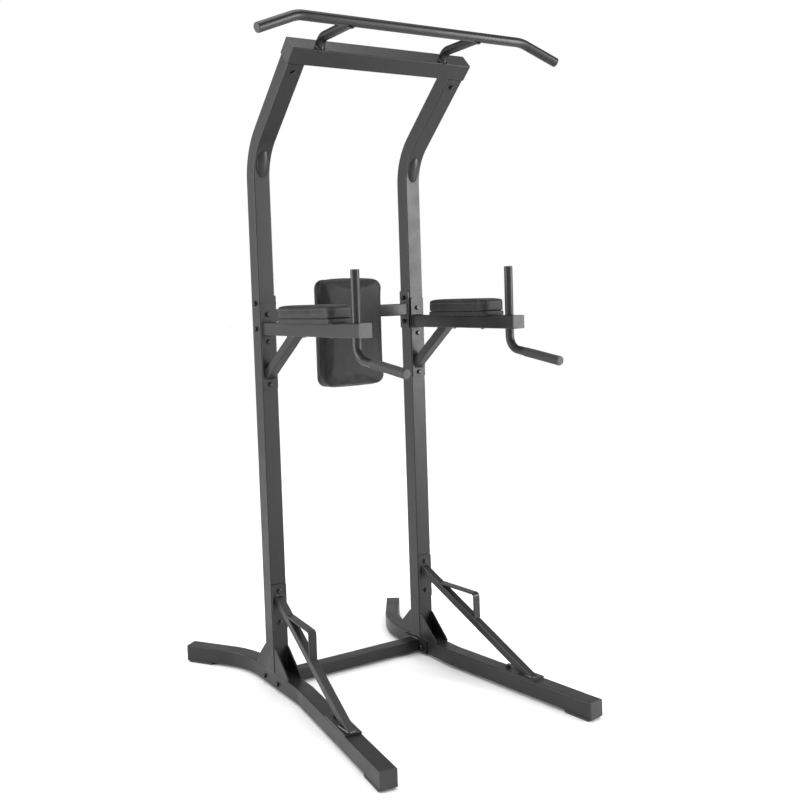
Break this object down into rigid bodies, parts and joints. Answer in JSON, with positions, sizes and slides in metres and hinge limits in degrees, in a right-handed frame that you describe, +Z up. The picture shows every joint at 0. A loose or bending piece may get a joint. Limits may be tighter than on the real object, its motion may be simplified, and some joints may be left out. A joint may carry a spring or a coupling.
{
  "type": "power tower",
  "caption": "Free-standing power tower with a pull-up bar, padded dip arms with handles, a back pad, splayed base rails, floor braces and steps.",
  "frame": {"origin": "on the floor under the middle of the footprint", "axes": "+Z up; -Y is the front, where the arms, the pull-up bar and the long rail ends point; +X is the side of the right-hand upright seen from the front of the tower"},
  "size_m": [1.0308, 1.1742, 2.01],
  "materials": {
    "frame_paint": "satin powder coat",
    "fasteners": "black zinc",
    "pad_vinyl": "grained vinyl",
    "plywood": "dark-stained plywood",
    "foot_rubber": "moulded rubber",
    "grip_rubber": "ribbed rubber",
    "grey_plastic": "moulded",
    "black_plastic": "moulded"
  },
  "bodies": {
    "root": {"arm_end_plugs": "grey_plastic", "arm_pad_screws": "fasteners", "back_cross_tube": "frame_paint", "back_end_plates": "frame_paint", "back_pad": "pad_vinyl", "back_pad_board": "plywood", "back_pad_screws": "fasteners", "back_strap": "frame_paint", "bar_end_plugs": "black_plastic", "base_cross_tube": "frame_paint", "base_end_plates": "frame_paint", "crossbar": "frame_paint", "crossbar_end_plugs": "black_plastic", "crossbar_stubs": "frame_paint", "handle_end_plugs": "grey_plastic", "hex_bolts": "fasteners", "left_arm_brace": "frame_paint", "left_arm_pad": "pad_vinyl", "left_arm_pad_board": "plywood", "left_arm_plate": "frame_paint", "left_arm_tube": "frame_paint", "left_bar_support": "frame_paint", "left_base_rail": "frame_paint", "left_brace_plates": "frame_paint", "left_dip_grip": "grip_rubber", "left_floor_brace": "frame_paint", "left_foot_gussets": "frame_paint", "left_front_foot_cap": "foot_rubber", "left_handle": "frame_paint", "left_rear_foot_cap": "foot_rubber", "left_splice_sleeve": "frame_paint", "left_step_bracket": "frame_paint", "left_upright_lower": "frame_paint", "left_upright_upper": "frame_paint", "lock_nuts": "fasteners", "pull_up_bar": "frame_paint", "right_arm_brace": "frame_paint", "right_arm_pad": "pad_vinyl", "right_arm_pad_board": "plywood", "right_arm_plate": "frame_paint", "right_arm_tube": "frame_paint", "right_bar_support": "frame_paint", "right_base_rail": "frame_paint", "right_brace_plates": "frame_paint", "right_dip_grip": "grip_rubber", "right_floor_brace": "frame_paint", "right_foot_gussets": "frame_paint", "right_front_foot_cap": "foot_rubber", "right_handle": "frame_paint", "right_rear_foot_cap": "foot_rubber", "right_splice_sleeve": "frame_paint", "right_step_bracket": "frame_paint", "right_upright_lower": "frame_paint", "right_upright_upper": "frame_paint", "short_bolts": "fasteners", "washers": "fasteners", "weld_nuts": "fasteners"}
  },
  "joints": []
}
